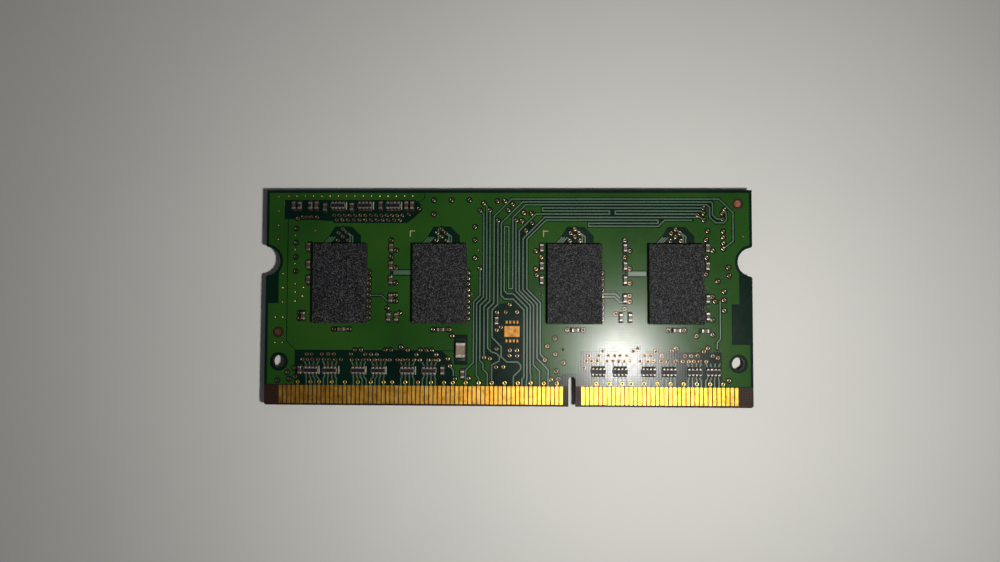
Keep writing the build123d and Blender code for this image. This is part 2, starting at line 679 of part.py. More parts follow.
# ---------------------------------------------------------------- ink marks
with BuildPart() as front_ink:
    with BuildSketch(Plane.XY.offset(front_z + mask_thickness)):
        with Locations(*row(array_row_y, lower_marks)):
            Rectangle(ink_width, mark_length)
        with Locations(*row(upper_array_y, [x + upper_mark_offset for x in upper_arrays])):
            Rectangle(ink_width, mark_length)
        with Locations((package_x[1] - package_width / 2 - 0.5, 8.9)):
            Rectangle(ink_width, 0.9)
            with Locations((0.35, 0.35)):
                Rectangle(0.6, ink_width)
        with Locations((package_x[2] - package_width / 2 - 0.5, 8.9)):
            Rectangle(ink_width, 0.9)
            with Locations((0.35, 0.35)):
                Rectangle(0.6, ink_width)
    extrude(amount=ink_thickness)

# ---------------------------------------------------------------- memory packages
ball_foot = laminate_top
ball_head = front_z + ball_height
ball_waist = (ball_foot + ball_head) / 2
with BuildPart() as ball_blank:
    with BuildSketch(Plane.XZ):
        with BuildLine():
            Line((0, ball_foot), (ball_neck_radius, ball_foot))
            Line((ball_neck_radius, ball_foot), (ball_radius, ball_waist))
            Line((ball_radius, ball_waist), (ball_neck_radius, ball_head))
            Line((ball_neck_radius, ball_head), (0, ball_head))
            Line((0, ball_head), (0, ball_foot))
        make_face()
    revolve(axis=Axis.Z)

with BuildPart() as front_solder_balls:
    with Locations(*ball_places):
        add(ball_blank.part)

substrate_z = ball_head
mould_z = substrate_z + substrate_thickness
package_pieces = {}
for number, x in enumerate(package_x, start=1):
    with BuildPart() as substrate:
        with BuildSketch(Plane.XY.offset(substrate_z)):
            with Locations((x, package_y)):
                Rectangle(package_width, package_length)
        extrude(amount=substrate_thickness)
    package_pieces[f"front_memory_{number}_substrate"] = substrate

    with BuildPart() as mould:
        with BuildSketch(Plane.XY.offset(mould_z)):
            with Locations((x, package_y)):
                Rectangle(package_width, package_length)
        extrude(amount=mould_thickness)
        chamfer(mould.faces().sort_by(Axis.Z)[-1].edges(), mould_chamfer)
        with BuildSketch(Plane.XY.offset(mould_z)):
            with Locations((x, package_y)):
                Rectangle(die_width, die_length)
        extrude(amount=die_thickness, mode=Mode.SUBTRACT)
        with BuildSketch(Plane.XY.offset(mould_z + mould_thickness)):
            with Locations((
                x - package_width / 2 + index_mark_inset,
                package_y - package_length / 2 + index_mark_inset,
            )):
                Circle(index_mark_radius)
        extrude(amount=-index_mark_depth, mode=Mode.SUBTRACT)
    package_pieces[f"front_memory_{number}_body"] = mould

with BuildPart() as front_memory_dies:
    with BuildSketch(Plane.XY.offset(mould_z)):
        with Locations(*row(package_y, package_x)):
            Rectangle(die_width, die_length)
    extrude(amount=die_thickness)

# ---------------------------------------------------------------- two-terminal chips


def end_cap(length, width, height, band):
    """Plated end of a chip that is centred on the origin and stands on Z = 0."""
    with BuildPart() as cap:
        with Locations((length / 2 - band / 2, 0, height / 2)):
            Box(band, width, height)
    return cap


def chip_core(length, width, height, band):
    """Ceramic of a two-terminal chip, between its plated ends."""
    with BuildPart() as core:
        with Locations((0, 0, height / 2)):
            Box(length - 2 * band, width - 2 * ceramic_step, height - 2 * ceramic_step)
    return core


def solder_wedge(length, width, height, band, toe):
    """Solder from the laminate up to one end of a chip, with a hollow fillet outside it."""
    end = length / 2
    with BuildPart() as wedge:
        with BuildSketch(Plane.XZ):
            with BuildLine():
                Line((end - band, -solder_depth), (end + toe, -solder_depth))
                Line((end + toe, -solder_depth), (end + toe, -solder_film))
                ThreePointArc(
                    (end + toe, -solder_film),
                    (end + 0.33 * toe, 0.25 * height),
                    (end, 0.7 * height),
                )
                Line((end, 0.7 * height), (end, 0))
                Line((end, 0), (end - band, 0))
                Line((end - band, 0), (end - band, -solder_depth))
            make_face()
        extrude(amount=width / 2, both=True)
    return wedge


def placed(places, angle, z):
    """Locations at a height, turned about Z."""
    return [Location((x, y, z), (0, 0, angle)) for x, y in places]


def both_ends(places, angle, z):
    """Locations for the two ends of each two-terminal chip."""
    return placed(places, angle, z) + placed(places, angle + 180, z)


chip_cap = end_cap(chip_length, chip_width, chip_height, chip_band)
chip_ceramic = chip_core(chip_length, chip_width, chip_height, chip_band)
chip_solder = solder_wedge(chip_length, chip_width - 0.04, chip_height, chip_band, solder_toe)
resistor_cap = end_cap(chip_length, chip_width, resistor_height, chip_band)
resistor_ceramic = chip_core(chip_length, chip_width, resistor_height, chip_band)
bulk_cap = end_cap(bulk_length, bulk_width, bulk_height, bulk_band)
bulk_ceramic = chip_core(bulk_length, bulk_width, bulk_height, bulk_band)
bulk_solder = solder_wedge(bulk_length, bulk_width - 0.1, bulk_height, bulk_band, bulk_toe)

with BuildPart() as front_capacitor_bodies:
    with Locations(*placed(capacitors_upright, 90, seat_z), *placed(capacitors_lying, 0, seat_z)):
        add(chip_ceramic.part)

with BuildPart() as front_capacitor_terminals:
    with Locations(*both_ends(capacitors_upright, 90, seat_z), *both_ends(capacitors_lying, 0, seat_z)):
        add(chip_cap.part)

with BuildPart() as front_bulk_capacitor_body:
    with Locations(*placed([bulk_place], 90, seat_z)):
        add(bulk_ceramic.part)

with BuildPart() as front_bulk_capacitor_terminals:
    with Locations(*both_ends([bulk_place], 90, seat_z)):
        add(bulk_cap.part)

# ---------------------------------------------------------------- resistors and arrays
array_coat_width = array_width - 2 * array_band - 2 * coat_gap
resistor_coat_length = chip_length - 2 * chip_band - 2 * coat_gap
with BuildPart() as array_ceramic:
    with Locations((0, 0, array_height / 2)):
        Box(array_length, array_width - 2 * array_band, array_height - 2 * ceramic_step)

with BuildPart() as array_clip:
    with Locations((0, array_width / 2 - array_band / 2, array_height / 2)):
        Box(array_terminal_width, array_band, array_height)

array_solder = solder_wedge(array_width, array_terminal_width - 0.04, array_height, array_band, solder_toe)

with BuildPart() as front_resistor_bodies:
    with Locations(*placed(array_places, 0, seat_z)):
        add(array_ceramic.part)
    with Locations(*placed(resistors_upright, 90, seat_z)):
        add(resistor_ceramic.part)

with BuildPart() as front_resistor_coats:
    with BuildSketch(Plane.XY.offset(seat_z + array_height - ceramic_step)):
        add(rectangles(array_places, array_length - 2 * coat_gap, array_coat_width))
    extrude(amount=coat_thickness)
    with BuildSketch(Plane.XY.offset(seat_z + resistor_height - ceramic_step)):
        add(rectangles(resistors_upright, chip_width - 2 * coat_gap, resistor_coat_length))
    extrude(amount=coat_thickness)

with BuildPart() as front_resistor_terminals:
    with Locations(*[loc for dx in array_offsets for loc in placed([(x + dx, y) for x, y in array_places],
                                                                   0, seat_z)]):
        add(array_clip.part)
    with Locations(*[loc for dx in array_offsets for loc in placed([(x + dx, y) for x, y in array_places],
                                                                   180, seat_z)]):
        add(array_clip.part)
    with Locations(*both_ends(resistors_upright, 90, seat_z)):
        add(resistor_cap.part)

# ---------------------------------------------------------------- solder joints
with BuildPart() as front_solder_joints:
    with Locations(*both_ends(upright_places, 90, seat_z), *both_ends(capacitors_lying, 0, seat_z)):
        add(chip_solder.part)
    with Locations(*both_ends([bulk_place], 90, seat_z)):
        add(bulk_solder.part)
    with Locations(*[
        loc for dx in array_offsets for loc in both_ends([(x + dx, y) for x, y in array_places], 90, seat_z)
    ]):
        add(array_solder.part)

# ---------------------------------------------------------------- both faces
twin_pieces = {
    "front_prepreg": front_prepreg,
    "front_contacts": front_contacts,
    "front_vias": front_vias,
    "front_lands": front_lands,
    "front_tracks": front_tracks,
    "front_ground_pour": front_pour,
    "front_solder_mask": front_mask,
    "front_solder_balls": front_solder_balls,
    "front_memory_dies": front_memory_dies,
    "front_capacitor_bodies": front_capacitor_bodies,
    "front_capacitor_terminals": front_capacitor_terminals,
    "front_bulk_capacitor_body": front_bulk_capacitor_body,
    "front_bulk_capacitor_terminals": front_bulk_capacitor_terminals,
    "front_resistor_bodies": front_resistor_bodies,
    "front_resistor_coats": front_resistor_coats,
    "front_resistor_terminals": front_resistor_terminals,
    "front_solder_joints": front_solder_joints,
}
twin_pieces.update(package_pieces)
for name, piece in twin_pieces.items():
    save(piece, name)
    with BuildPart() as rear_piece:
        mirror(piece.part, about=mid_plane)
    save(rear_piece, name.replace("front_", "rear_"))

save(front_targets, "alignment_targets")
save(front_ink, "ink_marks")

# ---------------------------------------------------------------- configuration memory, rear face only
sensor_top = rear_z - solder_film
with BuildPart() as sensor_leads_part:
    with BuildSketch(Plane.XY.offset(sensor_top)):
        add(rectangles(sensor_leads, sensor_lead_width, sensor_lead_length))
        add(rectangles([(sensor_x, sensor_y)], sensor_pad_width, sensor_pad_length))
    extrude(amount=-sensor_lead_thickness)
save(sensor_leads_part, "configuration_memory_leads")

with BuildPart() as sensor_body:
    with BuildSketch(Plane.XY.offset(sensor_top)):
        with Locations((sensor_x, sensor_y)):
            Rectangle(sensor_width, sensor_length)
    extrude(amount=-sensor_height)
    with BuildSketch(Plane.XY.offset(sensor_top)):
        add(rectangles(sensor_leads, sensor_lead_width, sensor_lead_length))
        add(rectangles([(sensor_x, sensor_y)], sensor_pad_width, sensor_pad_length))
    extrude(amount=-sensor_lead_thickness, mode=Mode.SUBTRACT)
save(sensor_body, "configuration_memory_body")

with BuildPart() as sensor_solder:
    with BuildSketch(Plane.XY.offset(sensor_top)):
        add(rectangles(sensor_leads, sensor_lead_width, sensor_lead_length))
        add(rectangles([(sensor_x, sensor_y)], sensor_pad_width, sensor_pad_length))
    extrude(amount=solder_film)
save(sensor_solder, "configuration_memory_solder")

# ---------------------------------------------------------------- label across the middle rear packages
with BuildPart() as label:
    with BuildSketch():
        with Locations(((package_x[1] + package_x[2]) / 2, package_y)):
            RectangleRounded(label_length, label_height, 0.8)
    extrude(amount=label_thickness)
save(label, "label")
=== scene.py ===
import json
import math

import bmesh
import bpy
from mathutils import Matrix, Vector


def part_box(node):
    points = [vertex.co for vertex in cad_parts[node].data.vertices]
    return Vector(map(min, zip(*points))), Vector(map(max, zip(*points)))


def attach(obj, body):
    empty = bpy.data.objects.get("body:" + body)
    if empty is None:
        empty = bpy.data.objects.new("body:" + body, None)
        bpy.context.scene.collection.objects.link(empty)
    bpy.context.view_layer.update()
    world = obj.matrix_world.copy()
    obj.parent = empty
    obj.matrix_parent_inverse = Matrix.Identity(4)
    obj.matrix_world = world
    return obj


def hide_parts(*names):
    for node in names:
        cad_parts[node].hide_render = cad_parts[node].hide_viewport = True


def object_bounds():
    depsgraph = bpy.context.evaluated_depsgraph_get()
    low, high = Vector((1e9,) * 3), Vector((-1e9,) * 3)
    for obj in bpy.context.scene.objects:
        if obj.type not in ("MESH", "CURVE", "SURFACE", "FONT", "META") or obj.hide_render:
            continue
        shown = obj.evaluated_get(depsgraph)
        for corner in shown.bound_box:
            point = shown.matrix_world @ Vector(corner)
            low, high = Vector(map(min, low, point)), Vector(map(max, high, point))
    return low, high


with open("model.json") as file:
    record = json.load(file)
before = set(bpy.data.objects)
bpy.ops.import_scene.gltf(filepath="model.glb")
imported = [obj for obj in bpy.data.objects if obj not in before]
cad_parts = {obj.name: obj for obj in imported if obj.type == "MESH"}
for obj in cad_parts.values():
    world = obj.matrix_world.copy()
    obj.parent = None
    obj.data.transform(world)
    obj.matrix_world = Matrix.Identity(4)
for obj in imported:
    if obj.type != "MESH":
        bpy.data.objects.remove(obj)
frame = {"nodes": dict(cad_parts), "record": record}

cad_low, cad_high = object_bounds()
MM = 0.001
nodes = frame["nodes"]


# ---------------------------------------------------------------- camera and lights
# The camera looks almost straight down, turned by one to two degrees about each level axis.
CAMERA_PLACE = (1.21 * MM, -1.23 * MM, 96.57 * MM)
CAMERA_TURN = (math.radians(2.147), math.radians(1.326), math.radians(0.22))
CAMERA_LENS = 24.48
SENSOR_WIDTH = 36.0
# The key light stands where a phone's flash is, level with the camera.
FLASH_PLACE = (30 * MM, -15 * MM, 96 * MM)
FLASH_SIZE = 10 * MM
FLASH_POWER = 0.075
FILL_LEFT_PLACE = (-190 * MM, 60 * MM, 150 * MM)
FILL_FRONT_PLACE = (60 * MM, -240 * MM, 110 * MM)
FILL_SIZE = 160 * MM
FILL_POWER = 0.014
WORLD_STRENGTH = 0.035


def add_camera():
    data = bpy.data.cameras.new("camera")
    data.lens = CAMERA_LENS
    data.sensor_width = SENSOR_WIDTH
    data.clip_start = 0.001
    camera = bpy.data.objects.new("camera", data)
    camera.location = CAMERA_PLACE
    camera.rotation_euler = CAMERA_TURN
    bpy.context.scene.collection.objects.link(camera)
    bpy.context.scene.camera = camera


def add_area_light(name, place, size, power, colour, target=(0, 0, 0)):
    data = bpy.data.lights.new(name, "AREA")
    data.shape = "DISK"
    data.size = size
    data.energy = power
    data.color = colour
    light = bpy.data.objects.new(name, data)
    light.location = place
    light.rotation_euler = (Vector(target) - Vector(place)).to_track_quat("-Z", "Y").to_euler()
    bpy.context.scene.collection.objects.link(light)


def add_lights():
    add_area_light("key", FLASH_PLACE, FLASH_SIZE, FLASH_POWER, (1.0, 0.985, 0.945), (2 * MM, 0, 0))
    add_area_light("fill_left", FILL_LEFT_PLACE, FILL_SIZE, FILL_POWER, (0.95, 0.98, 1.0))
    add_area_light("fill_front", FILL_FRONT_PLACE, FILL_SIZE, FILL_POWER, (1.0, 0.99, 0.97))
    world = bpy.data.worlds.new("studio")
    world.use_nodes = True
    background = world.node_tree.nodes["Background"]
    background.inputs["Color"].default_value = (0.93, 0.95, 1.0, 1)
    background.inputs["Strength"].default_value = WORLD_STRENGTH
    bpy.context.scene.world = world
    bpy.context.scene.view_settings.view_transform = "Standard"


# ---------------------------------------------------------------- material building blocks
class Material:
    """A node material with its Principled shader; textures are mapped in millimetres of the frame."""

    def __init__(self, name, colour, roughness, metallic=0.0):
        self.material = bpy.data.materials.new(name)
        self.material.use_nodes = True
        self.tree = self.material.node_tree
        self.shader = self.tree.nodes["Principled BSDF"]
        self.set("Base Color", (*colour, 1))
        self.set("Roughness", roughness)
        self.set("Metallic", metallic)
        self.set("IOR", 1.5)
        self.place = self.node("ShaderNodeTexCoord").outputs["Object"]

    def set(self, socket, value):
        self.shader.inputs[socket].default_value = value

    def node(self, kind, **settings):
        made = self.tree.nodes.new(kind)
        for key, value in settings.items():
            setattr(made, key, value)
        return made

    def link(self, source, target):
        self.tree.links.new(source, target)

    def mapped(self, stretch=(1, 1, 1)):
        """Object coordinates in millimetres, multiplied by stretch."""
        mapping = self.node("ShaderNodeMapping")
        mapping.inputs["Scale"].default_value = [s / MM for s in stretch]
        self.link(self.place, mapping.inputs["Vector"])
        return mapping.outputs["Vector"]

    def noise(self, scale, detail=3.0, roughness=0.55, stretch=(1, 1, 1)):
        made = self.node("ShaderNodeTexNoise")
        made.inputs["Scale"].default_value = scale
        made.inputs["Detail"].default_value = detail
        made.inputs["Roughness"].default_value = roughness
        self.link(self.mapped(stretch), made.inputs["Vector"])
        return made.outputs["Fac"]

    def cells(self, scale):
        """A flat random tone in each cell."""
        made = self.node("ShaderNodeTexVoronoi", feature="F1")
        made.inputs["Scale"].default_value = scale
        made.inputs["Randomness"].default_value = 1.0
        self.link(self.mapped(), made.inputs["Vector"])
        return made.outputs["Color"]

    def wave(self, scale, direction):
        made = self.node("ShaderNodeTexWave", bands_direction=direction)
        made.inputs["Scale"].default_value = scale
        made.inputs["Distortion"].default_value = 0.6
        made.inputs["Detail"].default_value = 1.0
        self.link(self.mapped(), made.inputs["Vector"])
        return made.outputs["Fac"]

    def math(self, operation, a, b):
        made = self.node("ShaderNodeMath", operation=operation)
        for socket, value in zip(made.inputs, (a, b)):
            if isinstance(value, (int, float)):
                socket.default_value = value
            else:
                self.link(value, socket)
        return made.outputs["Value"]

    def ramp(self, factor, *stops):
        made = self.node("ShaderNodeValToRGB")
        elements = made.color_ramp.elements
        while len(elements) < len(stops):
            elements.new(0.5)
        for element, (position, colour) in zip(elements, stops):
            element.position = position
            element.color = (*colour, 1)
        self.link(factor, made.inputs["Fac"])
        return made.outputs["Color"]

    def spread(self, factor, low, high):
        """Maps the range 0 to 1 onto low to high."""
        made = self.node("ShaderNodeMapRange")
        made.inputs["To Min"].default_value = low
        made.inputs["To Max"].default_value = high
        self.link(factor, made.inputs["Value"])
        return made.outputs["Result"]

    def blend(self, mode, amount, a, b):
        """Blends colour b over colour a; sockets 6, 7 and 2 are a colour mix's A, B and result."""
        made = self.node("ShaderNodeMix", data_type="RGBA", blend_type=mode)
        made.inputs[0].default_value = amount
        self.link(a, made.inputs[6])
        self.link(b, made.inputs[7])
        return made.outputs[2]

    def colour(self, source):
        self.link(source, self.shader.inputs["Base Color"])

    def rough(self, source):
        self.link(source, self.shader.inputs["Roughness"])

    def bump(self, height, distance_mm, strength):
        made = self.node("ShaderNodeBump")
        made.inputs["Strength"].default_value = strength
        made.inputs["Distance"].default_value = distance_mm * MM
        self.link(height, made.inputs["Height"])
        self.link(made.outputs["Normal"], self.shader.inputs["Normal"])


THREAD_PITCH = 0.36
WAVE_BANDS = 3.2  # bands of a wave texture per unit at scale 1


def glass_weave(m):
    """Woven glass cloth: two crossed sets of threads."""
    scale = 1 / (THREAD_PITCH * WAVE_BANDS)
    return m.math("MULTIPLY", m.wave(scale, "X"), m.wave(scale, "Y"))


def mask_material(name, deep, light, worn, weave_share, polish, sheen):
    """Glossy solder mask: slow colour drift, fine grain, a trace of the cloth below, dull specks."""
    m = Material(name, deep, 0.3)
    drift = m.noise(0.09, 2.0)
    base = m.ramp(drift, (0.3, deep), (0.55, light), (0.75, worn))
    grain = m.noise(4.0, 4.0, 0.7)
    base = m.blend("OVERLAY", 0.22, base, m.ramp(grain, (0.25, (0.3,) * 3), (0.75, (0.7,) * 3)))
    weave = glass_weave(m)
    base = m.blend("MULTIPLY", weave_share, base, m.ramp(weave, (0.0, (0.55,) * 3), (1.0, (1.0,) * 3)))
    m.colour(base)
    m.rough(m.spread(m.noise(1.6, 3.0), *polish))
    m.set("Specular IOR Level", sheen)
    m.bump(m.math("ADD", m.noise(2.2, 2.0), m.math("MULTIPLY", weave, 1.5)), 0.0025, 0.8)
    return m.material


def metal_material(name, low, high, roughness, grain_scale, bump_mm):
    """Plated metal: blotchy tone, uneven polish and a fine surface."""
    m = Material(name, high, roughness, 1.0)
    m.colour(m.ramp(m.noise(grain_scale, 4.0, 0.65), (0.28, low), (0.62, high)))
    m.rough(m.spread(m.noise(grain_scale * 1.7, 3.0, 0.6), roughness * 0.6, roughness * 1.5))
    m.bump(m.noise(grain_scale * 2.0, 2.0, 0.5), bump_mm, 0.6)
    return m.material


def contact_material():
    """Hard gold: wiping scratches along the insertion direction, and dull patches."""
    m = Material("contact_gold", (0.95, 0.62, 0.10), 0.3, 1.0)
    tone = m.ramp(m.noise(0.9, 5.0, 0.7), (0.3, (0.50, 0.20, 0.02)), (0.5, (0.92, 0.47, 0.06)),
                  (0.72, (1.0, 0.64, 0.14)))
    scratches = m.noise(9.0, 3.0, 0.6, (1.0, 0.07, 1.0))
    m.colour(m.blend("MULTIPLY", 0.6, tone, m.ramp(scratches, (0.35, (0.45,) * 3), (0.6, (1.0,) * 3))))
    m.rough(m.spread(scratches, 0.32, 0.52))
    m.bump(scratches, 0.003, 0.6)
    return m.material


def mould_material():
    """Moulding compound: dark resin full of fine glassy filler grains."""
    m = Material("package_mould", (0.05, 0.05, 0.052), 0.6)
    grains = m.cells(11.0)
    fine = m.noise(9.0, 4.0, 0.8)
    base = m.ramp(grains, (0.42, (0.001, 0.001, 0.002)), (0.60, (0.005, 0.005, 0.0065)),
                  (0.82, (0.12, 0.12, 0.13)))
    tint = m.blend("MULTIPLY", 0.5, base, m.ramp(fine, (0.3, (0.3,) * 3), (0.6, (1.0,) * 3)))
    drift = m.ramp(m.noise(0.25, 2.0), (0.35, (0.82, 0.82, 0.88)), (0.65, (1.0, 0.97, 0.95)))
    m.colour(m.blend("MULTIPLY", 1.0, tint, drift))
    m.rough(m.spread(fine, 0.5, 0.8))
    m.set("Specular IOR Level", 0.22)
    m.bump(m.noise(5.5, 4.0, 0.7), 0.022, 0.9)
    return m.material


def laminate_material():
    """Bare glass-epoxy: brown resin with pale cloth threads showing through."""
    m = Material("laminate", (0.035, 0.014, 0.007), 0.5)
    weave = glass_weave(m)
    base = m.ramp(weave, (0.1, (0.022, 0.009, 0.005)), (0.7, (0.040, 0.018, 0.009)),
                  (1.0, (0.065, 0.032, 0.016)))
    m.colour(m.blend("OVERLAY", 0.4, base, m.ramp(m.noise(4.0, 4.0), (0.3, (0.3,) * 3), (0.7, (0.7,) * 3))))
    m.rough(m.spread(m.noise(3.0), 0.35, 0.6))
    m.set("Specular IOR Level", 0.22)
    m.bump(weave, 0.012, 0.8)
    return m.material


def ceramic_material(name, low, high, roughness):
    """Fired ceramic: cloudy tone and a faint grain."""
    m = Material(name, high, roughness)
    m.colour(m.ramp(m.noise(2.4, 5.0, 0.7), (0.3, low), (0.68, high)))
    m.rough(m.spread(m.noise(6.0), roughness * 0.75, roughness * 1.3))
    m.bump(m.noise(8.0, 3.0), 0.008, 0.6)
    return m.material


def plain_grain_material(name, low, high, roughness, scale, sheen):
    """Ink, paper, resin coats: slight mottling and a matching surface."""
    m = Material(name, high, roughness)
    m.set("Specular IOR Level", sheen)
    m.colour(m.ramp(m.noise(scale, 4.0, 0.65), (0.3, low), (0.65, high)))
    m.rough(m.spread(m.noise(scale * 0.5), roughness * 0.8, min(1.0, roughness * 1.2)))
    m.bump(m.noise(scale * 1.5, 3.0), 0.005, 0.5)
    return m.material


# name: dark tone, light tone, roughness, grains per mm, height of the grain in mm
METALS = {
    "plane_copper": ((0.45, 0.21, 0.10), (0.80, 0.44, 0.27), 0.35, 1.5, 0.004),
    "track_copper": ((0.45, 0.21, 0.10), (0.80, 0.44, 0.27), 0.4, 1.5, 0.004),
    "via_gold": ((0.13, 0.075, 0.03), (0.44, 0.29, 0.16), 0.28, 0.5, 0.004),
    "neck_gold": ((0.60, 0.33, 0.05), (1.0, 0.66, 0.12), 0.3, 1.0, 0.004),
    "land_gold": ((0.13, 0.045, 0.010), (0.44, 0.22, 0.06), 0.45, 1.6, 0.006),
    "solder": ((0.15, 0.135, 0.12), (0.50, 0.46, 0.42), 0.36, 3.0, 0.02),
    "terminal_tin": ((0.13, 0.115, 0.10), (0.46, 0.42, 0.38), 0.45, 3.5, 0.012),
    "lead_metal": ((0.50, 0.50, 0.50), (0.80, 0.80, 0.80), 0.3, 3.0, 0.006),
    "target_copper": ((0.26, 0.09, 0.05), (0.56, 0.24, 0.15), 0.36, 1.8, 0.006),
    "silicon": ((0.10, 0.11, 0.13), (0.25, 0.27, 0.31), 0.2, 0.8, 0.002),
}
# name: dark tone, light tone, roughness
CERAMICS = {
    "capacitor_ceramic": ((0.035, 0.016, 0.009), (0.10, 0.05, 0.028), 0.4),
    "bulk_ceramic": ((0.16, 0.115, 0.07), (0.30, 0.22, 0.14), 0.45),
    "alumina": ((0.20, 0.19, 0.17), (0.36, 0.34, 0.31), 0.5),
}
# name: dark tone, light tone, roughness, grains per mm, sheen
PLAIN_GRAINS = {
    "package_substrate": ((0.02, 0.05, 0.025), (0.05, 0.11, 0.05), 0.45, 5.0, 0.5),
    "resistor_coat": ((0.004, 0.0035, 0.0035), (0.014, 0.012, 0.012), 0.5, 3.0, 0.25),
    "white_ink": ((0.28, 0.29, 0.17), (0.46, 0.46, 0.30), 0.6, 5.0, 0.5),
    "label_paper": ((0.78, 0.78, 0.75), (0.88, 0.88, 0.86), 0.7, 2.0, 0.5),
    # the bore: a near-black disc down in each hole, painted shade for the dark inside of the hole
    "via_bore": ((0.003, 0.002, 0.001), (0.012, 0.006, 0.003), 0.5, 5.0, 0.5),
}
# name: deep, light and worn tone, share of the weave, least and most roughness, sheen
MASKS = {
    "mask_raised": ((0.014, 0.064, 0.008), (0.021, 0.088, 0.010), (0.030, 0.094, 0.010), 0.12,
                    (0.18, 0.29), 0.27),
    # the coat over the tracks: paler tones than over the pour, a painted highlight for light caught on the
    # tracks' rounded edges
    "mask_track": ((0.030, 0.090, 0.040), (0.055, 0.130, 0.062), (0.065, 0.140, 0.065), 0.1,
                   (0.34, 0.46), 0.75),
    "mask_base": ((0.001, 0.011, 0.007), (0.0015, 0.017, 0.010), (0.002, 0.016, 0.009), 0.3,
                  (0.18, 0.29), 0.27),
}
MATERIALS = {
    "laminate": laminate_material(),
    "contact_gold": contact_material(),
    "package_mould": mould_material(),
}
for maker, table in ((metal_material, METALS), (ceramic_material, CERAMICS),
                     (plain_grain_material, PLAIN_GRAINS), (mask_material, MASKS)):
    for look_name, settings in table.items():
        MATERIALS[look_name] = maker(look_name, *settings)


# ---------------------------------------------------------------- looks of the CAD nodes
WELD_REACH = 0.0005 * MM
# edge radius in mm for each slot that gets softened edges
BEVELS = {
    "contact_gold": 0.02, "terminal_tin": 0.035, "capacitor_ceramic": 0.02, "bulk_ceramic": 0.04,
    "resistor_coat": 0.012, "alumina": 0.015, "solder": 0.015, "package_mould": 0.012, "land_gold": 0.01,
}


def finish_node(obj, slot):
    """Gives a CAD node its material, and softens its sharp edges."""
    obj.data.materials.clear()
    obj.data.materials.append(MATERIALS[slot])
    width = BEVELS.get(slot)
    if width:
        weld = obj.modifiers.new("weld", "WELD")
        weld.merge_threshold = WELD_REACH
        bevel = obj.modifiers.new("bevel", "BEVEL")
        bevel.width = width * MM
        bevel.segments = 2
        bevel.limit_method = "ANGLE"
        bevel.angle_limit = math.radians(40)
        bevel.use_clamp_overlap = True


RECORD_SLOTS = {part["node"]: part["material_slot"] for part in frame["record"]["subparts"]}
for node_name, node_object in nodes.items():
    slot_name = RECORD_SLOTS[node_name]
    if slot_name in MATERIALS:  # the mask and the vias are replaced below
        finish_node(node_object, slot_name)


# ---------------------------------------------------------------- coats and vias
COPPER = 0.035 * MM
COAT = 0.02 * MM          # mask above the copper
BASE_LIFT = 0.012 * MM    # mask above the bare laminate
# steps of a coat's rounded rim: outward shift, drop
RAISED_RIM = ((0.012 * MM, 0.006 * MM), (0.014 * MM, 0.026 * MM))
BASE_RIM = ((0.006 * MM, 0.012 * MM),)
MERGE_REACH = 0.0002 * MM
LEVEL_REACH = 0.002 * MM
FLAT_NORMAL = 0.999       # faces this level stay flat, so that highlights don't ripple

# turned profiles of the vias in mm: radius, height above the copper; the bore discs carry painted shade for
# the dark holes
EYELET = ((0.252, -0.030), (0.246, 0.002), (0.215, 0.012), (0.175, 0.010), (0.150, -0.006), (0.140, -0.03),
          (0.135, -0.13))
BORE = ((0.135, -0.13), (0.0, -0.13))
TENTED = ((0.29, 0.018), (0.22, 0.026), (0.175, 0.022), (0.155, 0.008))
TENTED_RING = ((0.155, 0.008), (0.12, 0.004), (0.09, -0.02))
TENTED_BORE = ((0.09, -0.02), (0.05, -0.03), (0.0, -0.03))
VIA_SEGMENTS = 18
VIA_MERGE_REACH = 0.0001 * MM
TENTED_REACH = 0.2 * MM   # a mask opening closer than this to the axis makes a via a tented one
NECK_REACH = 0.6 * MM     # vias this close above the contacts are gold plated with them
FAR = 1.0


def flat_faces(node, level):
    """A bmesh with only a node's faces that lie at one height."""
    mesh = bmesh.new()
    mesh.from_mesh(nodes[node].data)
    bmesh.ops.remove_doubles(mesh, verts=mesh.verts, dist=MERGE_REACH)
    spare = [f for f in mesh.faces if any(abs(v.co.z - level) > LEVEL_REACH for v in f.verts)]
    bmesh.ops.delete(mesh, geom=spare, context="FACES")
    return mesh


def outward(vertex):
    """Unit direction away from the faces round a boundary vertex."""
    total = Vector((0, 0, 0))
    for edge in vertex.link_edges:
        if edge.is_boundary:
            a, b = edge.verts
            along = b.co - a.co
            side = Vector((along.y, -along.x, 0)).normalized()
            middle = (a.co + b.co) / 2
            if side.dot(edge.link_faces[0].calc_center_median() - middle) > 0:
                side = -side
            total += side
    return total.normalized()


def add_skirt(mesh, steps, up):
    """Rounds a sheet's free edges over and down to the card: steps are (outward shift, drop)."""
    for shift, drop in steps:
        rim = [e for e in mesh.edges if e.is_boundary]
        directions = {v: outward(v) for v in {v for e in rim for v in e.verts}}
        made = bmesh.ops.extrude_edge_only(mesh, edges=rim)["geom"]
        new_verts = [v for v in made if isinstance(v, bmesh.types.BMVert)]
        sources = {}
        for v in new_verts:
            for e in v.link_edges:
                other = e.other_vert(v)
                if other in directions and (other.co - v.co).length < 1e-9:
                    sources[v] = directions[other]
        for v in new_verts:
            v.co += sources.get(v, Vector((0, 0, 0))) * shift + Vector((0, 0, -up * drop))


def new_piece(name, mesh, materials, smooth_angle):
    """Makes an object of a bmesh, riding on the module, with faces smooth up to an angle in degrees."""
    data = bpy.data.meshes.new(name)
    mesh.to_mesh(data)
    mesh.free()
    for material in materials:
        data.materials.append(material)
    piece = bpy.data.objects.new(name, data)
    bpy.context.scene.collection.objects.link(piece)
    data.shade_smooth()
    data.set_sharp_from_angle(angle=math.radians(smooth_angle))
    for face in data.polygons:
        if abs(face.normal.z) > FLAT_NORMAL:
            face.use_smooth = False
    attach(piece, "root")
    return piece


